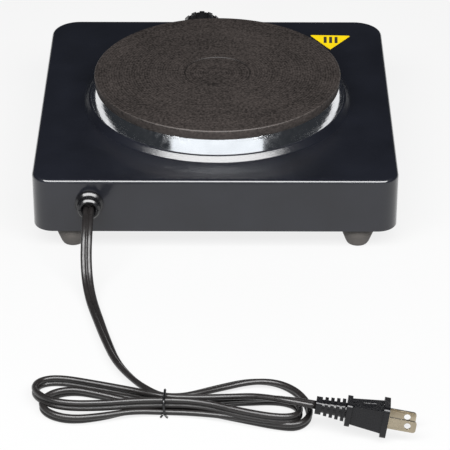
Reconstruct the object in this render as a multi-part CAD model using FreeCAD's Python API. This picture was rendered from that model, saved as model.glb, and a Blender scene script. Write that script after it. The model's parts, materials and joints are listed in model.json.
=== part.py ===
import FreeCAD, Part
import math
import os

# Single electric hot plate on four rubber feet, millimetres.
# +Z up, z = 0 at the undersides of the feet. The user stands at -Y and turns the knob there;
# the mains cord leaves the rear face at +Y. The origin is the middle of the footprint, cord left out.

V = FreeCAD.Vector

# ---- driving dimensions: casing
WIDTH = 219.8
DEPTH = 215.5
HOUSING_HEIGHT = 35.1
SHEET = 0.8
TOP_EDGE_RADIUS = 2.4
REAR_CORNER_RADIUS = 12.0
FRONT_CORNER_RADIUS = 18.0
FLANGE_WIDTH = 22.0
BASE_SHEET = 0.8
BASE_INSET = 3.0
FOOT_HEIGHT = 13.2
FOOT_TOP_RADIUS = 9.6
FOOT_BOTTOM_RADIUS = 7.25
FOOT_INSET_X = 23.4
FOOT_INSET_Y = 12.0
VENT_WIDTH = 4.0
VENT_LENGTH = 30.0
VENT_PITCH = 10.0
VENT_COUNT = 5

# ---- driving dimensions: hot plate
PLATE_RADIUS = 77.5
PLATE_RISE = 18.4
PLATE_RIM = 6.2
PLATE_X = -0.8
PLATE_TO_FRONT = 110.4
SKIRT_RADIUS = 72.0
SKIRT_DEPTH = 9.3
RECESS_RADIUS = 20.6
RECESS_DEPTH = 0.5
CHANNEL_WIDTH = 8.0
CHANNEL_DEPTH = 6.5
CHANNEL_PITCH = 12.0
CHANNEL_START = 26.0
COIL_DIAMETER = 4.6
COVER_SHEET = 0.6
LIP_RISE = 3.8
LIP_RADIUS = 81.0
LIP_FOOT_RADIUS = 84.4
LIP_EASE = 1.5
RING_SHEET = 0.5
RING_BOW = 0.2
STUD_DIAMETER = 6.0
BRIDGE_WIDTH = 22.0
BRIDGE_SHEET = 2.0
BRIDGE_REACH = 99.0
SHIELD_RADIUS = 58.0
SHIELD_RIM = 5.0

# ---- driving dimensions: control
KNOB_X = 10.4
KNOB_DIAMETER = 30.0
KNOB_LENGTH = 19.5
KNOB_GAP = 2.0
KNOB_FLUTES = 16
KNOB_HEIGHT = 18.0
SHAFT_DIAMETER = 6.0
SHAFT_FLAT = 1.4
LAMP_SPACING = 38.0
LAMP_DIAMETER = 9.0

# ---- driving dimensions: cord
CORD_WIDTH = 6.4
GLAND_X = 75.3
GLAND_HEIGHT = 19.8
GLAND_REACH = 9.0
GLAND_DEPTH = 10.0
GLAND_FLANGE_DIAMETER = 16.8
GLAND_HEAD_DIAMETER = 14.0
GLAND_SHANK_DIAMETER = 12.6

# ---- driving dimensions: hank of cord and its tie
HANK_HEIGHT = 12.8
HANK_END_X = -46.5
HANK_END_HEIGHT = 9.5
TIE_X = 26.6
TIE_Y = 278.0
TIE_REACH = 6.6
TIE_TOP = 9.8
TIE_WIRE = 1.4

# ---- driving dimensions: plug; flanges are (thickness, width, height), grip ends (width, height)
PLUG_START = (-54.9, 295.0, 15.6)
PLUG_YAW = 173.6
PLUG_PITCH = -7.9
PLUG_ROLL = -13.9
RELIEF_LENGTH = 16.5
REAR_FLANGE = (2.7, 16.0, 12.8)
GRIP_LENGTH = 16.8
GRIP_REAR = (12.6, 10.0)
GRIP_FRONT = (16.4, 12.8)
FACE_FLANGE = (3.2, 19.2, 17.4)
BLADE_SPACING = 12.7
BLADE_WIDTH = 6.35
BLADE_THICK = 1.5
BLADE_LENGTH = 15.2
BLADE_HOLE_RADIUS = 1.8
BLADE_HOLE_TO_TIP = 4.7

# ---- driving dimensions: parts inside
PIN_RADIUS = 1.2
BEAD_RADIUS = 3.0
PIN_DROP = 9.0
BEAD_SEAT = 0.6
BEAD_DROP = 3.0
CUTOUT_OFFSET = 42.0
CUTOUT_HALF_SPACING = 12.0
CUTOUT_BLADE_REACH = 17.0
BRACKET_SHEET = 1.5
BRACKET_HALF = 13.5
BRACKET_HALF_HEIGHT = 7.0
BRACKET_DEPTH = 14.0
BUSH_RADIUS = 5.0
STACK_DEPTH = 16.0
BLADE_SHEET = 0.8
BLADE_HALF_HEIGHT = 4.0
BLOCK_X = 58.0
BLOCK_TO_REAR = 44.0
BLOCK_HALF_LENGTH = 15.0
BLOCK_HALF_DEPTH = 8.0
BLOCK_HEIGHT = 12.0
WAY_SPACING = 18.0
WIRE_DIAMETER = 2.4

# ---- driving dimensions: labels
HAZARD_BASE = 27.2
HAZARD_HEIGHT = 20.6
HAZARD_PLACE = (-75.4, -79.4)
HAZARD_TURN = -2.0

# ---- fits and clearances
RUNNING_FIT = 0.05
SCREW_CLEARANCE = 0.25
HOLE_CLEARANCE = 0.5
BODY_GAP = 0.3
STICKER = 0.2

# ---- fasteners: shank diameter, head diameter, head height
M4 = (4.0, 7.6, 2.4)
M3 = (3.0, 5.6, 1.8)
M4_NUT_FLATS = 7.0
M4_NUT_HEIGHT = 3.2
M6_NUT_FLATS = 10.0
M6_NUT_HEIGHT = 5.0
WASHER_HEIGHT = 1.3

# ---- places worked out from the sizes
base_z = FOOT_HEIGHT
bottom_z = base_z + BASE_SHEET
flange_z = bottom_z + SHEET
top_z = bottom_z + HOUSING_HEIGHT
ceiling_z = top_z - SHEET
plate_z = top_z + PLATE_RISE
rim_z = plate_z - PLATE_RIM
skirt_z = rim_z - SKIRT_DEPTH
lip_z = top_z + LIP_RISE
knob_reach = KNOB_GAP + KNOB_LENGTH
overall_y = DEPTH + knob_reach + GLAND_REACH
front_y = -overall_y / 2 + knob_reach
rear_y = front_y + DEPTH
mid_y = (front_y + rear_y) / 2
plate_y = front_y + PLATE_TO_FRONT
knob_z = bottom_z + KNOB_HEIGHT
gland_z = bottom_z + GLAND_HEIGHT
lamp_x = KNOB_X - LAMP_SPACING


def box(x0, x1, y0, y1, z0, z1):
    return Part.makeBox(x1 - x0, y1 - y0, z1 - z0, V(x0, y0, z0))


def rod(radius, x, y, z0, z1):
    """Upright cylinder."""
    return Part.makeCylinder(radius, z1 - z0, V(x, y, z0))


def axle(radius, x, z, y0, y1):
    """Cylinder along Y."""
    return Part.makeCylinder(radius, y1 - y0, V(x, y0, z), V(0, 1, 0))


def hexagon(flats, x, y, z0, z1):
    corner = flats / math.sqrt(3)
    ring = [V(x + corner * math.cos(a), y + corner * math.sin(a), z0) for a in sixths()]
    return Part.Face(Part.makePolygon(ring + ring[:1])).extrude(V(0, 0, z1 - z0))


def sixths():
    return [math.radians(60 * n) for n in range(6)]


def turned(profile, x=PLATE_X, y=plate_y):
    """Solid of revolution about the upright line through (x, y); the profile is (radius, z)."""
    points = [V(x + r, y, z) for r, z in profile]
    face = Part.Face(Part.makePolygon(points + points[:1]))
    return face.revolve(V(x, y, 0), V(0, 0, 1), 360)


def turned_y(profile, x, z):
    """Solid of revolution about a line along Y through (x, z); the profile is (radius, y)."""
    points = [V(x + r, y, z) for r, y in profile]
    face = Part.Face(Part.makePolygon(points + points[:1]))
    return face.revolve(V(x, 0, z), V(0, 1, 0), 360)


def slab(x0, x1, y0, y1, z0, z1, front_radius, rear_radius):
    """Upright block with its four plan corners rounded."""
    block = box(x0, x1, y0, y1, z0, z1)
    for corner_y, radius in ((y0, front_radius), (y1, rear_radius)):
        edges = [e for e in block.Edges if is_upright(e) and abs(e.Vertexes[0].Y - corner_y) < 0.01]
        block = block.makeFillet(radius, edges)
    return block


def is_upright(edge):
    ends = edge.Vertexes
    if len(ends) != 2:
        return False
    return abs(ends[0].X - ends[1].X) + abs(ends[0].Y - ends[1].Y) < 0.01


def screw(size, x, y, z_head, z_end):
    """Pan-head screw whose head bears at z_head and whose shank ends at z_end."""
    shank, head, height = size
    up = 1 if z_end > z_head else -1
    low, high = sorted((z_head, z_end))
    shape = rod(shank / 2, x, y, low, high)
    low, high = sorted((z_head, z_head - up * height))
    cap = rod(head / 2, x, y, low, high)
    rim = [e for e in cap.Edges if abs(e.BoundBox.ZMin - (z_head - up * height)) < 0.01 and e.Closed]
    cap = cap.makeFillet(height * 0.4, rim)
    slot_depth = height * 0.5
    slot_z = sorted((z_head - up * height, z_head - up * (height - slot_depth)))
    slot = box(x - head, x + head, y - shank * 0.13, y + shank * 0.13, *slot_z)
    return shape.fuse(cap).cut(slot).removeSplitter()


def mirrored_corners(x, y0, y1):
    return [(side * x, y) for y in (y0, y1) for side in (-1, 1)]


def tube_path(points, turn_share=0.45):
    """Straight runs joined by tangent arcs; each arc is as large as its two runs allow."""
    pts = [V(*p) for p in points]
    edges = []
    radii = []
    start = pts[0]
    for before, at, after in zip(pts, pts[1:], pts[2:]):
        run_in = before.sub(at)
        run_out = after.sub(at)
        shorter = min(run_in.Length, run_out.Length)
        half_turn = (math.pi - run_in.getAngle(run_out)) / 2
        setback = turn_share * shorter
        radius = setback / math.tan(half_turn)
        radii.append(radius)
        run_in.normalize()
        run_out.normalize()
        enter = at + run_in * setback
        leave = at + run_out * setback
        bisector = (run_in + run_out).normalize()
        middle = at + bisector * (radius / math.cos(half_turn) - radius)
        edges.append(Part.LineSegment(start, enter).toShape())
        edges.append(Part.Arc(enter, middle, leave).toShape())
        start = leave
    edges.append(Part.LineSegment(start, pts[-1]).toShape())
    return Part.Wire(edges), radii


def tube(points, diameter, name):
    path, radii = tube_path(points)
    start = path.Edges[0]
    direction = start.tangentAt(start.FirstParameter)
    circle = Part.Wire(Part.makeCircle(diameter / 2, V(*points[0]), direction))
    solid = path.makePipeShell([circle], True, True)
    expected = math.pi * diameter ** 2 / 4 * path.Length
    print(name, "length", round(path.Length, 1), "radii", [round(r, 1) for r in radii],
          "volume/expected", round(solid.Volume / expected, 4))
    return solid


# ---- casing
def foot_places():
    x = WIDTH / 2 - FOOT_INSET_X
    return mirrored_corners(x, front_y + FOOT_INSET_Y, rear_y - FOOT_INSET_Y)


def base_screw_places():
    x = WIDTH / 2 - FLANGE_WIDTH / 2 - SHEET
    return mirrored_corners(x, mid_y - DEPTH / 5, mid_y + DEPTH / 5)


def pan(inset, z0, z1):
    half = WIDTH / 2 - inset
    shape = slab(-half, half, front_y + inset, rear_y - inset, z0, z1,
                 FRONT_CORNER_RADIUS - inset, REAR_CORNER_RADIUS - inset)
    rim = [e for e in shape.Edges if abs(e.BoundBox.ZMin - z1) < 0.01]
    return shape.makeFillet(TOP_EDGE_RADIUS - inset, rim)


def housing():
    shell = pan(0, bottom_z, top_z).cut(pan(SHEET, flange_z, ceiling_z))
    half = WIDTH / 2 - FLANGE_WIDTH
    shell = shell.cut(box(-half, half, front_y + FLANGE_WIDTH, rear_y - FLANGE_WIDTH,
                          bottom_z - 1, flange_z + 1))
    shell = shell.cut(rod(LIP_FOOT_RADIUS - SHEET, PLATE_X, plate_y, ceiling_z - 1, top_z + 1))
    opening = SKIRT_RADIUS + 2 * HOLE_CLEARANCE
    lip = turned([(LIP_FOOT_RADIUS, top_z), (LIP_RADIUS, lip_z), (opening, lip_z),
                  (opening, lip_z - SHEET), (LIP_RADIUS - SHEET, lip_z - SHEET),
                  (LIP_FOOT_RADIUS - SHEET, ceiling_z), (LIP_FOOT_RADIUS, ceiling_z)])
    shell = eased_lip(shell.fuse(lip).removeSplitter())
    shell = shell.cut(axle(SHAFT_DIAMETER / 2 + HOLE_CLEARANCE, KNOB_X, knob_z, front_y - 1, front_y + 2))
    shell = shell.cut(axle(LAMP_DIAMETER / 2 + HOLE_CLEARANCE / 2, lamp_x, knob_z, front_y - 1, front_y + 2))
    shell = shell.cut(axle(GLAND_SHANK_DIAMETER / 2, GLAND_X, gland_z, rear_y - 2, rear_y + 1))
    for x in bracket_screw_xs():
        shell = shell.cut(axle(M3[0] / 2, x, knob_z, front_y - 1, front_y + 2))
    for x, y in foot_places():
        shell = shell.cut(rod(M4[0] / 2 + SCREW_CLEARANCE, x, y, bottom_z - 1, flange_z + 1))
    for x, y in base_screw_places():
        shell = shell.cut(rod(M3[0] / 2, x, y, bottom_z - 1, flange_z + 1))
    return shell.removeSplitter()


def eased_lip(shell):
    """Round the lip's crest and its foot."""
    for z, radius in ((lip_z, LIP_RADIUS), (top_z, LIP_FOOT_RADIUS)):
        rings = [e for e in shell.Edges if abs(e.BoundBox.ZMin - z) < 0.01 and e.Closed
                 and abs(e.BoundBox.XLength - 2 * radius) < 0.1]
        shell = shell.makeFillet(LIP_EASE, rings)
    return shell


def base_plate():
    half = WIDTH / 2 - BASE_INSET
    plate = slab(-half, half, front_y + BASE_INSET, rear_y - BASE_INSET, base_z, bottom_z,
                 FRONT_CORNER_RADIUS - BASE_INSET, REAR_CORNER_RADIUS - BASE_INSET)
    for x, y in foot_places():
        plate = plate.cut(rod(M4[0] / 2 + SCREW_CLEARANCE, x, y, base_z - 1, bottom_z + 1))
    for x, y in base_screw_places():
        plate = plate.cut(rod(M3[0] / 2 + SCREW_CLEARANCE, x, y, base_z - 1, bottom_z + 1))
    for slot in vent_slots():
        plate = plate.cut(slot)
    return plate


def vent_slots():
    slots = []
    half_width = VENT_WIDTH / 2
    half_length = VENT_LENGTH / 2
    rounding = VENT_WIDTH * 0.49
    for y in (plate_y - SHIELD_RADIUS * 0.75, plate_y + SHIELD_RADIUS * 0.75):
        for n in range(VENT_COUNT):
            x = PLATE_X + (n - (VENT_COUNT - 1) / 2) * VENT_PITCH
            slots.append(slab(x - half_width, x + half_width, y - half_length, y + half_length,
                              base_z - 1, bottom_z + 1, rounding, rounding))
    return slots


def foot(x, y):
    floor_round = 2.0
    well_radius = M4[1] / 2 + SCREW_CLEARANCE
    well_depth = FOOT_HEIGHT * 0.55
    body = turned([(0, 0), (FOOT_BOTTOM_RADIUS - floor_round, 0),
                   (FOOT_BOTTOM_RADIUS - floor_round * 0.4, floor_round * 0.3),
                   (FOOT_BOTTOM_RADIUS, floor_round), (FOOT_TOP_RADIUS, FOOT_HEIGHT * 0.62),
                   (FOOT_TOP_RADIUS, FOOT_HEIGHT), (0, FOOT_HEIGHT)], x, y)
    body = body.cut(rod(well_radius, x, y, -1, well_depth))
    return body.cut(rod(M4[0] / 2 + SCREW_CLEARANCE, x, y, 0, FOOT_HEIGHT + 1))


def foot_screws():
    head_z = FOOT_HEIGHT * 0.55
    return [screw(M4, x, y, head_z, flange_z + M4_NUT_HEIGHT + 1) for x, y in foot_places()]


def foot_nuts():
    nuts = []
    for x, y in foot_places():
        nut = hexagon(M4_NUT_FLATS, x, y, flange_z, flange_z + M4_NUT_HEIGHT)
        nuts.append(nut.cut(rod(M4[0] / 2, x, y, base_z, flange_z + 2 * M4_NUT_HEIGHT)))
    return nuts


def base_screws():
    return [screw(M3, x, y, base_z, flange_z + 3) for x, y in base_screw_places()]


# ---- hot plate
def spiral_half_turns():
    """(centre offset, radius) of each half turn: two centres half a pitch apart make tangent arcs."""
    arcs = []
    radius = CHANNEL_START
    offset = 0.0
    while offset + radius + CHANNEL_WIDTH / 2 + 2 < SKIRT_RADIUS:
        arcs.append((offset, radius))
        radius += CHANNEL_PITCH / 2
        offset = CHANNEL_PITCH / 2 - offset
    return arcs


def spiral_path(z):
    edges = []
    for n, (offset, radius) in enumerate(spiral_half_turns()):
        side = 1 if n % 2 == 0 else -1
        centre = V(PLATE_X + offset, plate_y, z)
        edges.append(Part.Arc(centre + V(side * radius, 0, 0), centre + V(0, side * radius, 0),
                              centre + V(-side * radius, 0, 0)).toShape())
    return Part.Wire(edges)


def spiral_ends():
    arcs = spiral_half_turns()
    last = len(arcs) - 1
    side = 1 if last % 2 == 0 else -1
    first_x = PLATE_X + arcs[0][0] + arcs[0][1]
    last_x = PLATE_X + arcs[last][0] - side * arcs[last][1]
    return first_x, last_x


def channel():
    z = skirt_z + CHANNEL_DEPTH
    path = spiral_path(z)
    start_x = spiral_ends()[0]
    half = CHANNEL_WIDTH / 2
    corners = [V(start_x - half, plate_y, skirt_z), V(start_x + half, plate_y, skirt_z),
               V(start_x + half, plate_y, z), V(start_x - half, plate_y, z)]
    section = Part.makePolygon(corners + corners[:1])
    return path.makePipeShell([section], True, False)


def hot_plate():
    edge = 0.6
    casting = turned([(0, skirt_z), (SKIRT_RADIUS, skirt_z), (SKIRT_RADIUS, rim_z),
                      (PLATE_RADIUS - edge, rim_z), (PLATE_RADIUS, plate_z - edge),
                      (PLATE_RADIUS - edge, plate_z), (RECESS_RADIUS + RECESS_DEPTH, plate_z),
                      (RECESS_RADIUS, plate_z - RECESS_DEPTH), (0, plate_z - RECESS_DEPTH)])
    casting = casting.cut(channel())
    return casting.cut(rod(STUD_DIAMETER / 2, PLATE_X, plate_y, skirt_z - 1, rim_z + 1))


def coil_z():
    return skirt_z + CHANNEL_DEPTH / 2


def heating_coil():
    path = spiral_path(coil_z())
    start_x = spiral_ends()[0]
    circle = Part.Wire(Part.makeCircle(COIL_DIAMETER / 2, V(start_x, plate_y, coil_z()), V(0, 1, 0)))
    return path.makePipeShell([circle], True, False)


def element_pins():
    """Terminal pins that drop from the two ends of the coil."""
    inset = COIL_DIAMETER / 2 + 1.5
    first_x, last_x = spiral_ends()
    side = 1 if last_x > PLATE_X else -1
    return (first_x, plate_y + inset), (last_x, plate_y - side * inset)


def insulation_fill():
    fill = channel().cut(heating_coil())
    for x, y in element_pins():
        fill = fill.cut(rod(BEAD_RADIUS, x, y, skirt_z - 1, skirt_z + BEAD_SEAT))
        fill = fill.cut(rod(PIN_RADIUS, x, y, skirt_z - 1, coil_z()))
    return fill


def terminal_pins():
    pins = []
    for x, y in element_pins():
        pin = rod(PIN_RADIUS, x, y, skirt_z - PIN_DROP, coil_z())
        pins.append(pin.cut(heating_coil()))
    return pins


def terminal_beads():
    beads = []
    for x, y in element_pins():
        bead = rod(BEAD_RADIUS, x, y, skirt_z - COVER_SHEET - BEAD_DROP, skirt_z + BEAD_SEAT)
        beads.append(bead.cut(rod(PIN_RADIUS, x, y, skirt_z - PIN_DROP, skirt_z + 2)))
    return beads


def element_cover():
    cover = rod(SKIRT_RADIUS - 2, PLATE_X, plate_y, skirt_z - COVER_SHEET, skirt_z)
    cover = cover.cut(rod(STUD_DIAMETER / 2 + SCREW_CLEARANCE, PLATE_X, plate_y, 0, skirt_z + 1))
    for x, y in element_pins():
        cover = cover.cut(rod(BEAD_RADIUS, x, y, 0, skirt_z + 1))
    return cover


bridge_top = ceiling_z - 11.0
bridge_bottom = bridge_top - BRIDGE_SHEET
shield_bottom = bridge_bottom - COVER_SHEET
washer_bottom = shield_bottom - WASHER_HEIGHT
nut_bottom = washer_bottom - M6_NUT_HEIGHT
stud_end = nut_bottom - 2.5


def threaded_nut(z0):
    nut = hexagon(M6_NUT_FLATS, PLATE_X, plate_y, z0, z0 + M6_NUT_HEIGHT)
    return nut.cut(rod(STUD_DIAMETER / 2, PLATE_X, plate_y, z0 - 1, z0 + M6_NUT_HEIGHT + 1))


def centre_stud():
    return rod(STUD_DIAMETER / 2, PLATE_X, plate_y, stud_end, rim_z - 1)


def stud_washer():
    ring = rod(STUD_DIAMETER, PLATE_X, plate_y, washer_bottom, shield_bottom)
    return ring.cut(rod(STUD_DIAMETER / 2 + SCREW_CLEARANCE, PLATE_X, plate_y, washer_bottom, shield_bottom))


def clamp_bridge():
    foot_in = LIP_FOOT_RADIUS + 2
    slope = 12.0
    line = [(-BRIDGE_REACH, ceiling_z), (-foot_in, ceiling_z), (-foot_in + slope, bridge_top),
            (foot_in - slope, bridge_top), (foot_in, ceiling_z), (BRIDGE_REACH, ceiling_z)]
    under = [(x, z - BRIDGE_SHEET) for x, z in reversed(line)]
    points = [V(PLATE_X + x, plate_y - BRIDGE_WIDTH / 2, z) for x, z in line + under]
    strip = Part.Face(Part.makePolygon(points + points[:1])).extrude(V(0, BRIDGE_WIDTH, 0))
    strip = strip.cut(rod(STUD_DIAMETER / 2 + SCREW_CLEARANCE, PLATE_X, plate_y, 0, plate_z))
    for x in cutout_screw_xs():
        strip = strip.cut(rod(M3[0] / 2, x, plate_y, 0, plate_z))
    return strip


def heat_shield():
    rim = SHIELD_RADIUS
    dish = turned([(STUD_DIAMETER / 2 + SCREW_CLEARANCE, shield_bottom), (rim - COVER_SHEET, shield_bottom),
                   (rim - COVER_SHEET, bridge_bottom - SHIELD_RIM), (rim, bridge_bottom - SHIELD_RIM),
                   (rim, bridge_bottom), (STUD_DIAMETER / 2 + SCREW_CLEARANCE, bridge_bottom)])
    for x in cutout_screw_xs():
        dish = dish.cut(rod(M3[0] / 2 + SCREW_CLEARANCE, x, plate_y, 0, plate_z))
    return dish


def spill_ring():
    """Polished trim between the plate and the casing: a flat seat and a steep, slightly bowed skirt."""
    seat = PLATE_X + SKIRT_RADIUS + BODY_GAP
    top = PLATE_X + PLATE_RADIUS - 1.3
    foot = PLATE_X + LIP_RADIUS - 0.8
    bow = Part.Arc(V(top, plate_y, rim_z),
                   V((top + foot) / 2 + RING_BOW, plate_y, (rim_z + lip_z) / 2 + RING_BOW / 2),
                   V(foot, plate_y, lip_z))
    under = Part.Arc(V(foot - RING_SHEET, plate_y, lip_z),
                     V((top + foot) / 2 + RING_BOW - RING_SHEET, plate_y, (rim_z + lip_z) / 2 + RING_BOW / 2),
                     V(top - RING_SHEET / 2, plate_y, rim_z - RING_SHEET))
    seat_top = V(seat, plate_y, rim_z)
    seat_under = V(seat, plate_y, rim_z - RING_SHEET)
    wire = Part.Wire([Part.LineSegment(seat_top, bow.StartPoint).toShape(),
                      bow.toShape(),
                      Part.LineSegment(bow.EndPoint, under.StartPoint).toShape(),
                      under.toShape(),
                      Part.LineSegment(under.EndPoint, seat_under).toShape(),
                      Part.LineSegment(seat_under, seat_top).toShape()])
    return Part.Face(wire).revolve(V(PLATE_X, plate_y, 0), V(0, 0, 1), 360)


# ---- thermal cutout on the bridge
def cutout_screw_xs():
    x = PLATE_X + CUTOUT_OFFSET
    return x - CUTOUT_HALF_SPACING, x + CUTOUT_HALF_SPACING


def thermal_cutout():
    x = PLATE_X + CUTOUT_OFFSET
    flange = box(x - 16, x + 16, plate_y - 5, plate_y + 5, bridge_top, bridge_top + 1)
    body = rod(8, x, plate_y, bridge_top, bridge_top + 7)
    cap = rod(7, x, plate_y, bridge_top + 7, bridge_top + 9)
    blades = box(x - 3, x + 3, plate_y - CUTOUT_BLADE_REACH, plate_y + CUTOUT_BLADE_REACH,
                 bridge_top + 3.6, bridge_top + 4.4)
    shape = flange.fuse([body, cap, blades])
    for screw_x in cutout_screw_xs():
        shape = shape.cut(rod(M3[0] / 2 + SCREW_CLEARANCE, screw_x, plate_y, bridge_top - 1, bridge_top + 2))
    return shape.removeSplitter()


def cutout_screws():
    head_z = bridge_top + 1
    return [screw(M3, x, plate_y, head_z, shield_bottom - 2) for x in cutout_screw_xs()]


# ---- thermostat behind the front face
def bracket_screw_xs():
    return KNOB_X - BRACKET_HALF + 4, KNOB_X + BRACKET_HALF - 4


def inner_face():
    return front_y + SHEET


def bracket_back():
    return inner_face() + BRACKET_DEPTH


def thermostat_bracket():
    """U-shaped bracket on the front wall with the bush that the shaft turns in."""
    y0 = inner_face()
    z0 = knob_z - BRACKET_HALF_HEIGHT
    z1 = knob_z + BRACKET_HALF_HEIGHT
    arm_x = BRACKET_HALF / 2
    wall = box(KNOB_X - BRACKET_HALF, KNOB_X + BRACKET_HALF, y0, y0 + BRACKET_SHEET, z0, z1)
    back = box(KNOB_X - arm_x, KNOB_X + arm_x, bracket_back() - BRACKET_SHEET, bracket_back(), z0, z1)
    arms = [box(x, x + BRACKET_SHEET, y0, bracket_back(), z0, z1)
            for x in (KNOB_X - arm_x, KNOB_X + arm_x - BRACKET_SHEET)]
    bush = axle(BUSH_RADIUS, KNOB_X, knob_z, y0, y0 + 6)
    shape = wall.fuse([back, bush] + arms)
    shape = shape.cut(axle(SHAFT_DIAMETER / 2 + RUNNING_FIT, KNOB_X, knob_z, y0 - 1, bracket_back() + 1))
    for x in bracket_screw_xs():
        shape = shape.cut(axle(M3[0] / 2, x, knob_z, y0 - 1, y0 + BRACKET_SHEET + 1))
    return shape.removeSplitter()


def bracket_screws():
    """Two screws through the front wall, their heads hidden by the knob's skirt."""
    screws = []
    for x in bracket_screw_xs():
        shank = axle(M3[0] / 2, x, knob_z, front_y, inner_face() + BRACKET_SHEET + 3)
        head = axle(M3[1] / 2, x, knob_z, front_y - 1.2, front_y)
        slot = box(x - M3[1], x + M3[1], front_y - 2, front_y - 0.7, knob_z - 0.4, knob_z + 0.4)
        screws.append(shank.fuse(head).cut(slot).removeSplitter())
    return screws


def thermostat_stack():
    """Ceramic stack behind the bracket that holds the blades apart."""
    y0 = bracket_back()
    x0, x1 = stack_xs()
    stack = box(x0, x1, y0, y0 + STACK_DEPTH, knob_z - BRACKET_HALF_HEIGHT, knob_z + BRACKET_HALF_HEIGHT)
    for blade in thermostat_blades():
        stack = stack.cut(blade)
    return stack


def stack_xs():
    x0 = KNOB_X + BRACKET_HALF / 2 + 1
    return x0, x0 + 8


def blade_ys():
    y0 = bracket_back()
    return y0 + 4.5, y0 + 8.5


def thermostat_blades():
    z0 = knob_z - BLADE_HALF_HEIGHT
    z1 = knob_z + BLADE_HALF_HEIGHT
    return [box(blade_tip_x(), end_x, y, y + BLADE_SHEET, z0, z1)
            for y, end_x in zip(blade_ys(), blade_end_xs())]


def blade_tip_x():
    return KNOB_X - 12


def blade_end_xs():
    end_x = stack_xs()[1]
    return end_x + 10, end_x + 16


def thermostat_contacts():
    front, rear = blade_ys()
    x = KNOB_X - 8
    gap = 0.6
    radius = 2.2
    face = front + BLADE_SHEET
    middle = (face + rear) / 2
    return [axle(radius, x, knob_z, face, middle - gap / 2),
            axle(radius, x, knob_z, middle + gap / 2, rear)]


def thermostat_strap():
    """Steel strap that ties the ceramic stack to the bracket."""
    y0 = bracket_back()
    x1 = stack_xs()[0]
    strap = box(x1 - 1, x1, y0 - BRACKET_SHEET, y0 + STACK_DEPTH, knob_z - 6, knob_z + 6)
    for blade in thermostat_blades():
        strap = strap.cut(blade)
    return strap


# ---- knob and shaft, the body that turns
def d_section(radius, y0, y1):
    shaft = axle(radius, KNOB_X, knob_z, y0, y1)
    flat_z = knob_z + radius - SHAFT_FLAT
    return shaft.cut(box(KNOB_X - radius - 1, KNOB_X + radius + 1, y0 - 1, y1 + 1, flat_z, flat_z + radius))


shaft_front = front_y - KNOB_GAP - KNOB_LENGTH + 5.0
shaft_flat_end = front_y - KNOB_GAP - 1.0
knob_front = front_y - knob_reach
knob_back = front_y - KNOB_GAP


def thermostat_shaft():
    radius = SHAFT_DIAMETER / 2
    shaft = d_section(radius, shaft_front, shaft_flat_end)
    plain = axle(radius, KNOB_X, knob_z, shaft_flat_end, bracket_back() + 3)
    collar = axle(radius + 1.6, KNOB_X, knob_z, inner_face() + 7, inner_face() + 9)
    return shaft.fuse([plain, collar]).removeSplitter()


def knob():
    radius = KNOB_DIAMETER / 2
    wall = 2.2
    body = turned_y([(0, knob_front), (radius - 2.6, knob_front), (radius - 0.8, knob_front + 0.8),
                     (radius, knob_front + 2.2), (radius, knob_back - 5.5), (radius - 2.2, knob_back - 4.0),
                     (radius - 2.2, knob_back), (radius - 2.2 - wall, knob_back),
                     (radius - 2.2 - wall, knob_back - 9), (0, knob_back - 9)], KNOB_X, knob_z)
    hub = axle(SHAFT_DIAMETER / 2 + 2.5, KNOB_X, knob_z, knob_front + 2, knob_back)
    body = body.fuse(hub)
    for n in range(KNOB_FLUTES):
        angle = 360 / KNOB_FLUTES * (n + 0.5)
        flute = box(KNOB_X - 1.3, KNOB_X + 1.3, knob_front - 1, knob_back - 5.0,
                    knob_z + radius - 1.6, knob_z + radius + 1)
        flute.rotate(V(KNOB_X, 0, knob_z), V(0, 1, 0), angle)
        body = body.cut(flute)
    body = body.cut(d_section(SHAFT_DIAMETER / 2, shaft_front, shaft_flat_end))
    body = body.cut(axle(SHAFT_DIAMETER / 2, KNOB_X, knob_z, shaft_flat_end, knob_back + 1))
    body = body.cut(clip_room())
    return body.cut(knob_pointer()).removeSplitter()


def clip_room():
    flat_z = knob_z + SHAFT_DIAMETER / 2 - SHAFT_FLAT
    return box(KNOB_X - 1.8, KNOB_X + 1.8, shaft_front, shaft_flat_end, flat_z, flat_z + 0.6)


def knob_clip():
    return clip_room()


def knob_pointer():
    """White line let into the knob's face, from the middle to the rim."""
    radius = KNOB_DIAMETER / 2
    return box(KNOB_X - 0.8, KNOB_X + 0.8, knob_front, knob_front + 0.7, knob_z + 4, knob_z + radius - 3.2)


# ---- pilot lamp
def lamp_lens():
    radius = LAMP_DIAMETER / 2
    return turned_y([(0, front_y - 2.6), (radius * 0.6, front_y - 2.2), (radius, front_y - 1.0),
                     (radius + 1.2, front_y - 1.0), (radius + 1.2, front_y), (radius, front_y),
                     (radius, inner_face() + 4), (radius - 1, inner_face() + 4),
                     (radius - 1, front_y - 0.5), (0, front_y - 0.9)], lamp_x, knob_z)


def lamp_bulb():
    radius = LAMP_DIAMETER / 2 - 1.5
    return turned_y([(0, front_y + 0.6), (radius, front_y + 1.6), (radius, inner_face() + 12),
                     (0, inner_face() + 12)], lamp_x, knob_z)


def lamp_clip():
    """Push-on spring ring that holds the lens from inside."""
    radius = LAMP_DIAMETER / 2
    ring = axle(radius + 2.2, lamp_x, knob_z, inner_face(), inner_face() + 0.6)
    return ring.cut(axle(radius, lamp_x, knob_z, inner_face() - 1, inner_face() + 2))


# ---- supply side
def block_y():
    return rear_y - BLOCK_TO_REAR


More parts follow.
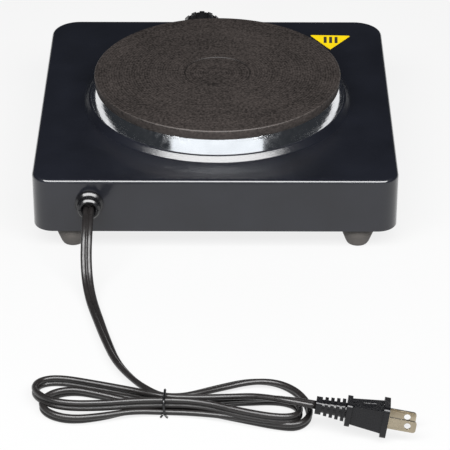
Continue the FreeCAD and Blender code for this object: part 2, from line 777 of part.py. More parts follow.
def terminal_block():
    y = block_y()
    block = box(BLOCK_X - BLOCK_HALF_LENGTH, BLOCK_X + BLOCK_HALF_LENGTH,
                y - BLOCK_HALF_DEPTH, y + BLOCK_HALF_DEPTH, bottom_z, bottom_z + BLOCK_HEIGHT)
    for x in way_xs():
        block = block.cut(way(x, BLOCK_HALF_DEPTH + 1))
        block = block.cut(rod(1.8, x, y, bottom_z + 9, bottom_z + BLOCK_HEIGHT + 1))
    return block.cut(rod(M3[0] / 2 + SCREW_CLEARANCE, BLOCK_X, y, base_z, bottom_z + BLOCK_HEIGHT + 1))


def way_xs():
    return BLOCK_X - WAY_SPACING / 2, BLOCK_X + WAY_SPACING / 2


def way(x, half_depth):
    y = block_y()
    return box(x - 3, x + 3, y - half_depth, y + half_depth, bottom_z + 5, bottom_z + 10)


def terminal_clamps():
    """Brass tunnels in the block with their screws' holes."""
    clamps = []
    y = block_y()
    for x in way_xs():
        clamp = way(x, BLOCK_HALF_DEPTH - 1)
        clamp = clamp.cut(axle(1.6, x, bottom_z + 7.4, y - BLOCK_HALF_DEPTH, y + BLOCK_HALF_DEPTH))
        clamps.append(clamp.cut(rod(1.4, x, y, bottom_z + 7.4, bottom_z + 11)))
    return clamps


def terminal_screws():
    y = block_y()
    screws = []
    for x in way_xs():
        stem = rod(1.4, x, y, bottom_z + 9.2, bottom_z + 13)
        head = rod(1.7, x, y, bottom_z + 10.2, bottom_z + 12.6)
        screws.append(stem.fuse(head).removeSplitter())
    return screws


def block_screw():
    return screw(M3, BLOCK_X, block_y(), bottom_z + BLOCK_HEIGHT, base_z - 0.6)


def cord_gland():
    """Two-part bushing: flange, ribbed head outside, shank in the wall, bore for the cord."""
    head = GLAND_HEAD_DIAMETER / 2
    flange = GLAND_FLANGE_DIAMETER / 2
    shank = GLAND_SHANK_DIAMETER / 2
    bush = turned_y([(0, rear_y - GLAND_DEPTH), (shank - 1, rear_y - GLAND_DEPTH),
                     (shank, rear_y - GLAND_DEPTH + 1), (shank, rear_y),
                     (flange, rear_y), (flange, rear_y + 2.2), (flange - 0.8, rear_y + 3.0),
                     (head, rear_y + 3.6), (head, rear_y + GLAND_REACH - 1.2),
                     (head - 1.2, rear_y + GLAND_REACH), (0, rear_y + GLAND_REACH)], GLAND_X, gland_z)
    bore = axle(CORD_WIDTH / 2, GLAND_X, gland_z, rear_y - GLAND_DEPTH - 1, rear_y + GLAND_REACH + 1)
    mouth = Part.makeCone(CORD_WIDTH / 2, CORD_WIDTH / 2 + 1.6, 2.4,
                          V(GLAND_X, rear_y + GLAND_REACH - 2.4, gland_z), V(0, 1, 0))
    bush = bush.cut(bore).cut(mouth)
    for n in range(24):
        rib = box(GLAND_X - 0.45, GLAND_X + 0.45, rear_y + 3.9, rear_y + GLAND_REACH - 1.6,
                  gland_z + head - 0.6, gland_z + head + 1)
        rib.rotate(V(GLAND_X, 0, gland_z), V(0, 1, 0), 15 * n)
        bush = bush.cut(rib)
    split = box(GLAND_X - flange - 1, GLAND_X + flange + 1, rear_y + GLAND_REACH - 0.5,
                rear_y + GLAND_REACH + 1, gland_z - 0.25, gland_z + 0.25)
    return bush.cut(split)


# ---- cord: its route from the gland to the hank, then the plug's lead
cord_exit_y = rear_y + GLAND_REACH - 2.4
LEAD_ROUTE = [
    (75.3, cord_exit_y, gland_z),
    (75.3, 131.2, gland_z),
    (75.5, 143.0, 28.0),
    (75.8, 151.5, 17.6),
    (74.9, 161.0, 8.2),
    (72.4, 175.0, 3.4),
    (68.2, 194.0, 3.3),
    (62.6, 216.0, 3.3),
    (55.2, 238.5, 3.3),
    (43.5, 257.0, 3.5),
    (32.0, 268.0, 6.0),
]
HANK_OUTLINE = [
    (27.0, 267.0), (45.0, 261.5), (66.0, 252.8), (86.0, 250.2), (99.5, 255.5), (103.0, 266.5),
    (98.5, 283.5), (88.0, 294.5), (72.0, 296.3), (48.0, 291.0), (27.0, 285.5), (8.0, 288.5),
    (-16.0, 295.5), (-37.0, 301.0), (-50.0, 299.0), (-56.3, 286.0), (-53.0, 271.5), (-44.0, 258.0),
    (-30.0, 252.2), (-14.0, 252.0), (2.0, 260.5), (14.0, 265.5),
]
TAIL_ROUTE = [
    (-31.9, 288.0, 14.9),
    (-43.1, 293.7, 17.3),
    PLUG_START,
]


def cord_clamped_end():
    """The stretch of cord that the bushing grips."""
    return axle(CORD_WIDTH / 2, GLAND_X, gland_z, rear_y - GLAND_DEPTH, cord_exit_y)


def cord_lead():
    return tube(LEAD_ROUTE, CORD_WIDTH, "cord_lead")


def cord_tail():
    return tube(TAIL_ROUTE, CORD_WIDTH, "cord_tail")


def cord_hank():
    """Outer shape of the folded cord, a bow tie in plan: lower under the plug, drawn in at the tie."""
    curve = Part.BSplineCurve()
    curve.interpolate([V(x, y, 0) for x, y in HANK_OUTLINE], PeriodicFlag=True)
    face = Part.Face(Part.Wire(curve.toShape()))
    hank = face.extrude(V(0, 0, HANK_HEIGHT))
    hank = hank.cut(box(HANK_END_X - 20, HANK_END_X, 240, 320, HANK_END_HEIGHT, HANK_HEIGHT + 1))
    half = TIE_WIRE / 2 + BODY_GAP
    waist = box(TIE_X - half, TIE_X + half, TIE_Y - 3 * TIE_REACH, TIE_Y + 3 * TIE_REACH, -1, HANK_HEIGHT + 1)
    return hank.cut(waist.cut(tie_hollow(BODY_GAP / 3)))


def tie_hollow(gap):
    """Room inside the tie, less a gap all round."""
    return box(TIE_X - 2 * TIE_WIRE, TIE_X + 2 * TIE_WIRE, TIE_Y - TIE_REACH + gap, TIE_Y + TIE_REACH - gap,
               TIE_WIRE + gap, TIE_TOP - gap)


def cord_tie():
    """Wire tie round the waist of the hank."""
    reach = TIE_REACH + TIE_WIRE
    outer = box(TIE_X - TIE_WIRE / 2, TIE_X + TIE_WIRE / 2, TIE_Y - reach, TIE_Y + reach, 0.0,
                TIE_TOP + TIE_WIRE)
    return outer.cut(tie_hollow(0))


# ---- plug, drawn along +X from its cord end and then laid in place
grip_start = RELIEF_LENGTH + REAR_FLANGE[0]
face_start = grip_start + GRIP_LENGTH
plug_length = face_start + FACE_FLANGE[0]


def laid(shape):
    """Turn a shape drawn along +X from its cord end into the plug's resting place."""
    shape.rotate(V(0, 0, 0), V(1, 0, 0), PLUG_ROLL)
    shape.rotate(V(0, 0, 0), V(0, 1, 0), -PLUG_PITCH)
    shape.rotate(V(0, 0, 0), V(0, 0, 1), PLUG_YAW)
    shape.translate(V(*PLUG_START))
    return shape


def plug_block(x0, length, width, height, rounding):
    block = box(x0, x0 + length, -width / 2, width / 2, -height / 2, height / 2)
    edges = [e for e in block.Edges if abs(e.Vertexes[0].X - e.Vertexes[1].X) > 0.01]
    return block.makeFillet(rounding, edges)


def plug_grip():
    sections = []
    for x, (width, height) in ((grip_start - 0.5, GRIP_REAR), (face_start + 0.5, GRIP_FRONT)):
        corners = [V(x, -width / 2, -height / 2), V(x, width / 2, -height / 2),
                   V(x, width / 2, height / 2), V(x, -width / 2, height / 2)]
        sections.append(Part.makePolygon(corners + corners[:1]))
    return Part.makeLoft(sections, True, True)


def relief_ribs():
    ribs = [plug_block(0, 3.2, 10.0, 7.4, 1.6)]
    for n in range(4):
        grow = 0.5 * (n + 1)
        ribs.append(plug_block(4.6 + 3.1 * n, 1.8, 10.0 + grow, 7.4 + grow, 1.6))
    return ribs


def plug_body():
    """Moulded body: ribbed strain relief, rear flange, wedge grip and face flange in one piece."""
    core = Part.makeCone(CORD_WIDTH / 2 + 0.2, CORD_WIDTH / 2 + 1.0, RELIEF_LENGTH, V(0, 0, 0), V(1, 0, 0))
    rear_flange = plug_block(RELIEF_LENGTH, *REAR_FLANGE, 1.8)
    face = plug_block(face_start, *FACE_FLANGE, 2.4)
    body = core.fuse(relief_ribs() + [rear_flange, plug_grip(), face])
    body = body.cut(thumb_marks())
    for blade in blades_flat():
        body = body.cut(blade)
    return laid(body.removeSplitter())


def thumb_marks():
    """Shallow oval recess in each broad side of the grip."""
    middle = grip_start + GRIP_LENGTH * 0.55
    height = (GRIP_REAR[1] + GRIP_FRONT[1]) / 4 + 0.1
    marks = []
    for side in (-1, 1):
        mark = plug_block(middle - 3.5, 7.0, 5.0, 1.2, 0.55)
        mark.rotate(V(middle, 0, 0), V(0, 1, 0), -side * 5.8)
        mark.translate(V(0, 0, side * height))
        marks.append(mark)
    return group(marks)


def blades_flat():
    x0 = plug_length - 9.0
    x1 = plug_length + BLADE_LENGTH
    blades = []
    for side in (-1, 1):
        y = side * BLADE_SPACING / 2
        blade = box(x0, x1, y - BLADE_THICK / 2, y + BLADE_THICK / 2, -BLADE_WIDTH / 2, BLADE_WIDTH / 2)
        tips = [e for e in blade.Edges if e.BoundBox.XMin > x1 - 0.01 and e.BoundBox.YLength > 0.1
                and e.BoundBox.ZLength < 0.1]
        blade = blade.makeFillet(1.6, tips)
        hole = axle(BLADE_HOLE_RADIUS, x1 - BLADE_HOLE_TO_TIP, 0, y - 2, y + 2)
        blades.append(blade.cut(hole))
    return blades


def plug_blades():
    return [laid(blade) for blade in blades_flat()]


# ---- wires inside
def wires():
    """Insulated wires between the parts inside, each on its own route."""
    y = block_y()
    wire_z = bottom_z + 7.4
    low_z = bottom_z + 4.0
    over_z = bridge_top + 4.0
    pin_z = skirt_z - PIN_DROP + 1.5
    feed, out = thermostat_blade_ends()
    pin_a, pin_b = element_pins()
    cutout_x = PLATE_X + CUTOUT_OFFSET
    side_x = WIDTH / 2 - 14
    gland_end = rear_y - GLAND_DEPTH
    lamp_end = inner_face() + 12
    lamp_blade = blade_tip_x()
    way_b, way_a = way_xs()
    way_end = BLOCK_HALF_DEPTH - 1
    return {
        "supply_wires": [
            ((GLAND_X + 1.6, gland_end, gland_z), (GLAND_X + 1.6, gland_end - 7, gland_z),
             (way_a, y + 15, wire_z), (way_a, y + way_end, wire_z)),
            ((GLAND_X - 1.6, gland_end, gland_z), (GLAND_X - 1.6, gland_end - 7, gland_z),
             (way_b, y + 16, wire_z), (way_b, y + way_end, wire_z)),
        ],
        "thermostat_wire": [
            ((way_a, y - way_end, wire_z), (way_a, y - 14, wire_z), (side_x, y - 38, wire_z - 2),
             (side_x, y - 80, wire_z - 1), (side_x - 14, front_y + 46, wire_z + 2),
             (feed[0] + 14, feed[1], knob_z), feed),
        ],
        "cutout_wire": [
            (out, (out[0] + 8, out[1], knob_z), (out[0] + 14, out[1] + 14, knob_z + 5),
             (cutout_x, plate_y - 44, over_z), (cutout_x, plate_y - CUTOUT_BLADE_REACH, over_z)),
        ],
        "heater_live_wire": [
            ((cutout_x, plate_y + CUTOUT_BLADE_REACH, over_z), (cutout_x, plate_y + 25, over_z),
             (pin_a[0] + 8, plate_y + 33, over_z), (pin_a[0], plate_y + 22, pin_z),
             (pin_a[0], pin_a[1] + PIN_RADIUS, pin_z)),
        ],
        "heater_neutral_wire": [
            ((way_b, y - way_end, wire_z), (way_b, y - 15, wire_z + 1), (46, 50, over_z - 4),
             (36, 44, over_z), (0, 40, over_z), (-40, 36, over_z + 1), (pin_b[0], 28, pin_z),
             (pin_b[0], pin_b[1] + PIN_RADIUS, pin_z)),
        ],
        "lamp_wires": [
            ((lamp_x + 1.4, lamp_end, knob_z), (lamp_x + 1.4, lamp_end + 9, knob_z),
             (lamp_blade - 12, out[1], knob_z), (lamp_blade, out[1], knob_z)),
            ((lamp_x - 1.4, lamp_end, knob_z), (lamp_x - 1.4, lamp_end + 10, knob_z),
             (lamp_x - 20, lamp_end + 27, wire_z + 2), (-side_x + 4, plate_y - 38, low_z),
             (-side_x + 4, plate_y + 20, low_z), (-60, rear_y - 30, low_z), (0, rear_y - 24, low_z),
             (BLOCK_X - BLOCK_HALF_LENGTH - 12, y + 4, low_z), (BLOCK_X - BLOCK_HALF_LENGTH, y + 4, low_z)),
        ],
    }


def thermostat_blade_ends():
    return tuple((x, y + BLADE_SHEET / 2, knob_z) for x, y in zip(blade_end_xs(), blade_ys()))


# ---- labels
def hazard_label():
    """Thin triangular sticker on the top face, its corners rounded."""
    half = HAZARD_BASE / 2
    corners = [V(-half, 0, 0), V(half, 0, 0), V(0, HAZARD_HEIGHT, 0)]
    sticker = Part.Face(Part.makePolygon(corners + corners[:1])).extrude(V(0, 0, STICKER))
    sticker = sticker.makeFillet(0.8, [e for e in sticker.Edges if is_upright(e)])
    sticker.rotate(V(0, 0, 0), V(0, 0, 1), HAZARD_TURN)
    sticker.translate(V(HAZARD_PLACE[0], HAZARD_PLACE[1], top_z))
    return sticker


def rating_label():
    return box(-24, 24, mid_y - 16, mid_y + 16, base_z - STICKER, base_z)


def group(solids):
    return Part.makeCompound(solids)


def export(name, shape):
    shape.exportStep(os.path.join("parts", name + ".step"))
    solids = shape.Solids
    state = "ok" if shape.isValid() and all(s.Volume > 0 for s in solids) else "BAD"
    print(name, len(solids), "solids", round(shape.Volume, 1), state)


def nodes():
    model = {
        "housing": housing(),
        "base_plate": base_plate().cut(block_screw()),
        "base_screws": group(base_screws()),
        "foot_screws": group(foot_screws()),
        "foot_nuts": group(foot_nuts()),
        "spill_ring": spill_ring(),
        "hot_plate": hot_plate(),
        "heating_coil": heating_coil(),
        "insulation_fill": insulation_fill(),
        "terminal_pins": group(terminal_pins()),
        "terminal_beads": group(terminal_beads()),
        "element_cover": element_cover(),
        "cover_nut": threaded_nut(skirt_z - COVER_SHEET - M6_NUT_HEIGHT),
        "centre_stud": centre_stud(),
        "clamp_bridge": clamp_bridge(),
        "heat_shield": heat_shield(),
        "stud_washer": stud_washer(),
        "stud_nut": threaded_nut(nut_bottom),
        "thermal_cutout": thermal_cutout(),
        "cutout_screws": group(cutout_screws()),
        "thermostat_bracket": thermostat_bracket(),
        "bracket_screws": group(bracket_screws()),
        "thermostat_stack": thermostat_stack(),
        "thermostat_strap": thermostat_strap(),
        "thermostat_blades": group(thermostat_blades()),
        "thermostat_contacts": group(thermostat_contacts()),
        "thermostat_shaft": thermostat_shaft(),
        "knob": knob(),
        "knob_clip": knob_clip(),
        "knob_pointer": knob_pointer(),
        "lamp_lens": lamp_lens(),
        "lamp_bulb": lamp_bulb(),
        "lamp_clip": lamp_clip(),
        "terminal_block": terminal_block(),
        "terminal_clamps": group(terminal_clamps()),
        "terminal_screws": group(terminal_screws()),
        "block_screw": block_screw(),
        "cord_gland": cord_gland(),
        "cord_clamped_end": cord_clamped_end(),
        "cord_lead": cord_lead(),
        "cord_hank": cord_hank(),
        "cord_tail": cord_tail(),
        "cord_tie": cord_tie(),
        "plug_body": plug_body(),
        "plug_blades": group(plug_blades()),
        "hazard_label": hazard_label(),
        "rating_label": rating_label(),
    }
    names = ("foot_front_left", "foot_front_right", "foot_rear_left", "foot_rear_right")
    for name, (x, y) in zip(names, foot_places()):
        model[name] = foot(x, y)
    for name, routes in wires().items():
        model[name] = group([tube(route, WIRE_DIAMETER, name) for route in routes])
    return model


os.makedirs("parts", exist_ok=True)
for node, solid in nodes().items():
    export(node, solid)
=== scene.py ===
import json
import math

import bpy
from mathutils import Matrix, Vector


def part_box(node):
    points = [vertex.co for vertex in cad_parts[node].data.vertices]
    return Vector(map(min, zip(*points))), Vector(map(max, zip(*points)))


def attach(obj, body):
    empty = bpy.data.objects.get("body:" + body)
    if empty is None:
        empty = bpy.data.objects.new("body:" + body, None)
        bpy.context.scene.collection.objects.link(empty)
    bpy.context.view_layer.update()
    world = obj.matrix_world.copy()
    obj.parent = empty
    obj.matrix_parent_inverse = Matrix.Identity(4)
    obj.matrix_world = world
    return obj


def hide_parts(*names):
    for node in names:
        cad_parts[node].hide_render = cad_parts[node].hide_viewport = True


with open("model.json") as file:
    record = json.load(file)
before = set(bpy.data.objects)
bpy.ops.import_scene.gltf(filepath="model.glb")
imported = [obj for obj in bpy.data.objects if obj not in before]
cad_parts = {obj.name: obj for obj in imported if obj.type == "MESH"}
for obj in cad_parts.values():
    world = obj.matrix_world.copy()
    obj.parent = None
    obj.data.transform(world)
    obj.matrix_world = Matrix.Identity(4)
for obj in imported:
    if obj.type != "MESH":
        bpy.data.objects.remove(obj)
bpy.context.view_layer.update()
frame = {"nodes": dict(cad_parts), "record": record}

NODES = frame["nodes"]
MM = 0.001
RECESS_RADIUS = 0.0206
LIP_REACH = 0.0862
TURNING_PITCH = 0.0016
SWELL_PITCH = 0.0093
BAR_SPACING = 0.0036
BAR_HALF_WIDTH = 0.0010
BAR_HALF_HEIGHT = 0.0046
BAR_DROP = 0.0030


# ---------------------------------------------------------------- material building
class Graph:
    """One node material, with short calls for the nodes that it is made of."""

    def __init__(self, name):
        self.material = bpy.data.materials.new(name)
        self.material.use_nodes = True
        self.tree = self.material.node_tree
        self.shader = self.tree.nodes["Principled BSDF"]
        self.place = self.new("ShaderNodeTexCoord").outputs["Object"]

    def new(self, kind, **settings):
        node = self.tree.nodes.new(kind)
        for key, value in settings.items():
            setattr(node, key, value)
        return node

    def feed(self, socket, value):
        if isinstance(value, bpy.types.NodeSocket):
            self.tree.links.new(value, socket)
        else:
            socket.default_value = value

    def math(self, operation, *values):
        node = self.new("ShaderNodeMath", operation=operation)
        for socket, value in zip(node.inputs, values):
            self.feed(socket, value)
        return node.outputs[0]

    def vector(self, operation, *values):
        node = self.new("ShaderNodeVectorMath", operation=operation)
        for socket, value in zip(node.inputs, values):
            self.feed(socket, value)
        return node.outputs["Value" if operation == "LENGTH" else "Vector"]

    def noise(self, scale, detail=2.0, roughness=0.5):
        node = self.new("ShaderNodeTexNoise")
        self.feed(node.inputs["Vector"], self.place)
        node.inputs["Scale"].default_value = scale
        node.inputs["Detail"].default_value = detail
        node.inputs["Roughness"].default_value = roughness
        return node.outputs[0]

    def span(self, value, low, high):
        """Spreads the middle of a noise, 0.3 to 0.7, over low to high."""
        node = self.new("ShaderNodeMapRange")
        for socket, number in zip(node.inputs, (value, 0.3, 0.7, low, high)):
            self.feed(socket, number)
        return node.outputs[0]

    def mix(self, share, first, second):
        node = self.new("ShaderNodeMix", data_type="RGBA")
        self.feed(node.inputs[0], share)
        self.feed(node.inputs[6], first)
        self.feed(node.inputs[7], second)
        return node.outputs[2]

    def bump(self, height, distance, under=None):
        node = self.new("ShaderNodeBump")
        node.inputs["Distance"].default_value = distance
        self.feed(node.inputs["Height"], height)
        if under:
            self.feed(node.inputs["Normal"], under)
        return node.outputs[0]

    def set(self, **inputs):
        for key, value in inputs.items():
            self.feed(self.shader.inputs[key.replace("_", " ")], value)


def rgba(colour, factor=1.0):
    return tuple(min(1.0, c * factor) for c in colour) + (1.0,)


def surface(name, colour, rough, metal=0.0, tone=0.12, grain=1500.0, relief=0.00002):
    """A worked surface: slow change of tone, uneven gloss, and a fine grain in relief."""
    g = Graph(name)
    share = g.span(g.noise(60.0, 3.0), 0.0, 1.0)
    g.set(Base_Color=g.mix(share, rgba(colour, 1 - tone), rgba(colour, 1 + tone)),
          Roughness=g.span(g.noise(250.0, 3.0), rough - 0.06, rough + 0.06),
          Metallic=metal, Normal=g.bump(g.noise(grain, 2.0), relief))
    return g.material


def plate_radius(g):
    """Distance from the upright line through the middle of the plate."""
    low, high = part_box("hot_plate")
    middle = ((low.x + high.x) / 2, (low.y + high.y) / 2, 0.0)
    flat = g.vector("MULTIPLY", g.place, (1.0, 1.0, 0.0))
    return g.vector("LENGTH", g.vector("SUBTRACT", flat, middle))


def enamel():
    """Dark blue-black enamel: a fine sandy skin, coarser on the raised lip round the plate."""
    g = Graph("black_enamel")
    on_lip = g.math("LESS_THAN", plate_radius(g), LIP_REACH)
    waves = g.bump(g.noise(120.0, 2.0), 0.00006)
    sand = g.math("MULTIPLY", g.noise(1250.0, 3.0, 0.65), on_lip)
    lacquer = g.bump(sand, 0.00010, under=waves)
    skin = g.bump(g.noise(1900.0, 2.0), 0.00002, under=lacquer)
    share = g.span(g.noise(35.0, 4.0), 0.0, 1.0)
    g.set(Base_Color=g.mix(share, (0.0032, 0.0036, 0.0056, 1), (0.0052, 0.0058, 0.0088, 1)),
          Roughness=g.span(g.noise(900.0, 3.0), 0.32, 0.42), Normal=skin, Specular_IOR_Level=0.15,
          Coat_Weight=1.0, Coat_Roughness=0.09, Coat_Normal=lacquer)
    return g.material


def cast_iron():
    """Fine turned rings about the middle of the plate, over a slightly mottled coated casting."""
    g = Graph("iron")
    radius = plate_radius(g)
    wobble = g.math("MULTIPLY", g.noise(25.0, 2.0), 0.0004)
    turns = g.math("MULTIPLY", g.math("ADD", radius, wobble), 2 * math.pi / TURNING_PITCH)
    ring = g.math("SINE", turns)
    coarse = g.math("SINE", g.math("MULTIPLY", radius, 2 * math.pi / SWELL_PITCH))
    mottle = g.noise(620.0, 5.0, 0.7)
    cloud = g.noise(28.0, 4.0, 0.6)
    shade = g.math("ADD", g.math("MULTIPLY", ring, 0.14), g.math("MULTIPLY", coarse, 0.05))
    shade = g.math("ADD", shade, g.span(mottle, -0.35, 0.90))
    shade = g.math("ADD", shade, g.span(cloud, 0.0, 0.4))
    # Painted shade: a thin dark ring in the plate colour at the edge of the middle recess, where shade
    # falls in the groove.
    line = g.math("LESS_THAN", g.math("ABSOLUTE", g.math("SUBTRACT", radius, RECESS_RADIUS)), 0.0005)
    shade = g.math("SUBTRACT", shade, g.math("MULTIPLY", line, 0.6))
    relief = g.math("ADD", g.math("MULTIPLY", ring, 0.5), g.math("MULTIPLY", mottle, 0.8))
    g.set(Base_Color=g.mix(shade, (0.0065, 0.0048, 0.0042, 1), (0.0400, 0.0325, 0.0295, 1)),
          Roughness=g.span(mottle, 0.48, 0.66), Metallic=0.35,
          Normal=g.bump(relief, 0.00009))
    return g.material


def polished():
    g = Graph("polished_steel")
    radius = plate_radius(g)
    lines = g.math("SINE", g.math("MULTIPLY", radius, 2 * math.pi / 0.0007))
    share = g.span(g.noise(60.0, 3.0), 0.0, 1.0)
    g.set(Base_Color=g.mix(share, (0.80, 0.81, 0.83, 1), (0.90, 0.91, 0.93, 1)),
          Roughness=g.span(g.noise(300.0, 3.0), 0.07, 0.15), Metallic=1.0,
          Normal=g.bump(g.math("ADD", g.math("MULTIPLY", lines, 0.3), g.noise(260.0, 2.0)), 0.000006))
    return g.material


def vinyl(name, colour, rough, specular=0.5):
    g = Graph(name)
    share = g.span(g.noise(90.0, 3.0), 0.0, 1.0)
    skin = g.bump(g.noise(1400.0, 3.0, 0.6), 0.00004)
    g.set(Base_Color=g.mix(share, rgba(colour, 0.8), rgba(colour, 1.25)),
          Roughness=g.span(g.noise(500.0, 3.0), rough - 0.07, rough + 0.07),
          Normal=skin, Specular_IOR_Level=specular)
    return g.material


def printed_triangle():
    """Yellow film with three plain bars: a generic heat mark, without words."""
    g = Graph("label_yellow")
    low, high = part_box("hazard_label")
    middle = (low + high) / 2
    local = g.new("ShaderNodeMapping", vector_type="TEXTURE")
    local.inputs["Location"].default_value = (middle.x, middle.y, 0.0)
    local.inputs["Rotation"].default_value = (0.0, 0.0, math.radians(-2.0))
    g.feed(local.inputs["Vector"], g.place)
    parts = g.new("ShaderNodeSeparateXYZ")
    g.feed(parts.inputs[0], local.outputs[0])
    u = g.math("ABSOLUTE", parts.outputs[0])
    v = parts.outputs[1]
    outer = g.math("LESS_THAN", g.math("ABSOLUTE", g.math("SUBTRACT", u, BAR_SPACING)), BAR_HALF_WIDTH)
    inner = g.math("LESS_THAN", u, BAR_HALF_WIDTH)
    bars = g.math("MAXIMUM", outer, inner)
    tall = g.math("LESS_THAN", g.math("ABSOLUTE", g.math("ADD", v, BAR_DROP)), BAR_HALF_HEIGHT)
    mark = g.math("MULTIPLY", bars, tall)
    film = g.mix(g.span(g.noise(120.0, 3.0), 0.0, 1.0), (0.47, 0.34, 0.002, 1), (0.53, 0.39, 0.003, 1))
    g.set(Base_Color=g.mix(mark, film, (0.02, 0.018, 0.015, 1)),
          Roughness=g.span(g.noise(400.0, 2.0), 0.28, 0.40), Normal=g.bump(g.noise(700.0, 2.0), 0.00001))
    return g.material


def braided(name, colour):
    """Woven glass sleeving on a wire."""
    g = Graph(name)
    weave = g.new("ShaderNodeTexWave", wave_type="BANDS", bands_direction="DIAGONAL")
    g.feed(weave.inputs["Vector"], g.place)
    weave.inputs["Scale"].default_value = 420.0
    weave.inputs["Distortion"].default_value = 1.5
    g.set(Base_Color=g.mix(weave.outputs[1], rgba(colour, 0.65), rgba(colour, 1.1)),
          Roughness=g.span(g.noise(500.0), 0.55, 0.75), Normal=g.bump(weave.outputs[1], 0.00015))
    return g.material


def lens(name, colour, rough, transmission):
    g = Graph(name)
    g.set(Base_Color=g.mix(g.span(g.noise(150.0), 0.0, 1.0), rgba(colour, 0.85), rgba(colour, 1.1)),
          Roughness=g.span(g.noise(400.0), rough, rough + 0.06), Transmission_Weight=transmission,
          Normal=g.bump(g.noise(500.0), 0.00001))
    return g.material


MATERIALS = {
    "black_enamel": enamel(),
    "black_paint": surface("black_paint", (0.018, 0.018, 0.019), 0.5, relief=0.00004),
    "plated_steel": surface("plated_steel", (0.60, 0.60, 0.57), 0.32, 1.0, 0.08, grain=2500.0),
    "polished_steel": polished(),
    "iron": cast_iron(),
    "heater_wire": surface("heater_wire", (0.26, 0.24, 0.22), 0.5, 1.0, 0.2),
    "ceramic_white": surface("ceramic_white", (0.74, 0.71, 0.64), 0.6, 0.0, 0.08, relief=0.00004),
    "mild_steel": surface("mild_steel", (0.45, 0.45, 0.45), 0.42, 1.0, 0.15),
    "shield_sheet": surface("shield_sheet", (0.72, 0.73, 0.74), 0.25, 1.0, 0.06),
    "phenolic": surface("phenolic", (0.07, 0.035, 0.02), 0.4, 0.0, 0.2),
    "brass_strip": surface("brass_strip", (0.70, 0.52, 0.24), 0.3, 1.0, 0.12),
    "contact_silver": surface("contact_silver", (0.78, 0.77, 0.74), 0.2, 1.0, 0.08),
    "shaft_alloy": surface("shaft_alloy", (0.66, 0.66, 0.66), 0.3, 1.0, 0.08),
    "knob_plastic": surface("knob_plastic", (0.006, 0.006, 0.0065), 0.28, relief=0.00003),
    "white_mark": surface("white_mark", (0.78, 0.78, 0.76), 0.45, 0.0, 0.05),
    "red_lens": lens("red_lens", (0.62, 0.02, 0.015), 0.06, 0.6),
    "clear_glass": lens("clear_glass", (0.92, 0.80, 0.68), 0.03, 0.9),
    "block_plastic": surface("block_plastic", (0.70, 0.68, 0.62), 0.45, 0.0, 0.05),
    "bushing_plastic": surface("bushing_plastic", (0.004, 0.004, 0.0045), 0.22, relief=0.00002),
    "cord_vinyl": vinyl("cord_vinyl", (0.0082, 0.0073, 0.0072), 0.33, 0.42),
    "plug_vinyl": vinyl("plug_vinyl", (0.0026, 0.0026, 0.0032), 0.26, 0.40),
    "plug_metal": surface("plug_metal", (0.44, 0.38, 0.28), 0.30, 1.0, 0.1, grain=3000.0),
    "foot_rubber": surface("foot_rubber", (0.050, 0.045, 0.041), 0.7, 0.0, 0.2, relief=0.00006),
    "label_yellow": printed_triangle(),
    "label_silver": surface("label_silver", (0.55, 0.55, 0.55), 0.4, 0.5, 0.05),
    "wire_red": braided("wire_red", (0.45, 0.04, 0.03)),
    "wire_white": braided("wire_white", (0.72, 0.71, 0.66)),
    "wire_black": braided("wire_black", (0.03, 0.03, 0.032)),
}

for part in frame["record"]["subparts"]:
    node = NODES[part["node"]]
    node.data.materials.clear()
    node.data.materials.append(MATERIALS[part["material_slot"]])


def eased(node, width):
    """Small rounds on a CAD node's sharp edges, added when it is drawn."""
    piece = NODES[node]
    weld = piece.modifiers.new("weld", "WELD")
    weld.merge_threshold = 0.00001
    bevel = piece.modifiers.new("round", "BEVEL")
    bevel.width = width * MM
    bevel.segments = 2
    bevel.limit_method = "ANGLE"
    bevel.angle_limit = math.radians(35)
    bevel.harden_normals = True
    bevel.use_clamp_overlap = True


for node, width in (("plug_body", 0.35), ("knob", 0.25), ("cord_gland", 0.3), ("hot_plate", 0.3),
                    ("plug_blades", 0.15), ("foot_rear_left", 0.4), ("foot_rear_right", 0.4),
                    ("foot_front_left", 0.4), ("foot_front_right", 0.4)):
    eased(node, width)


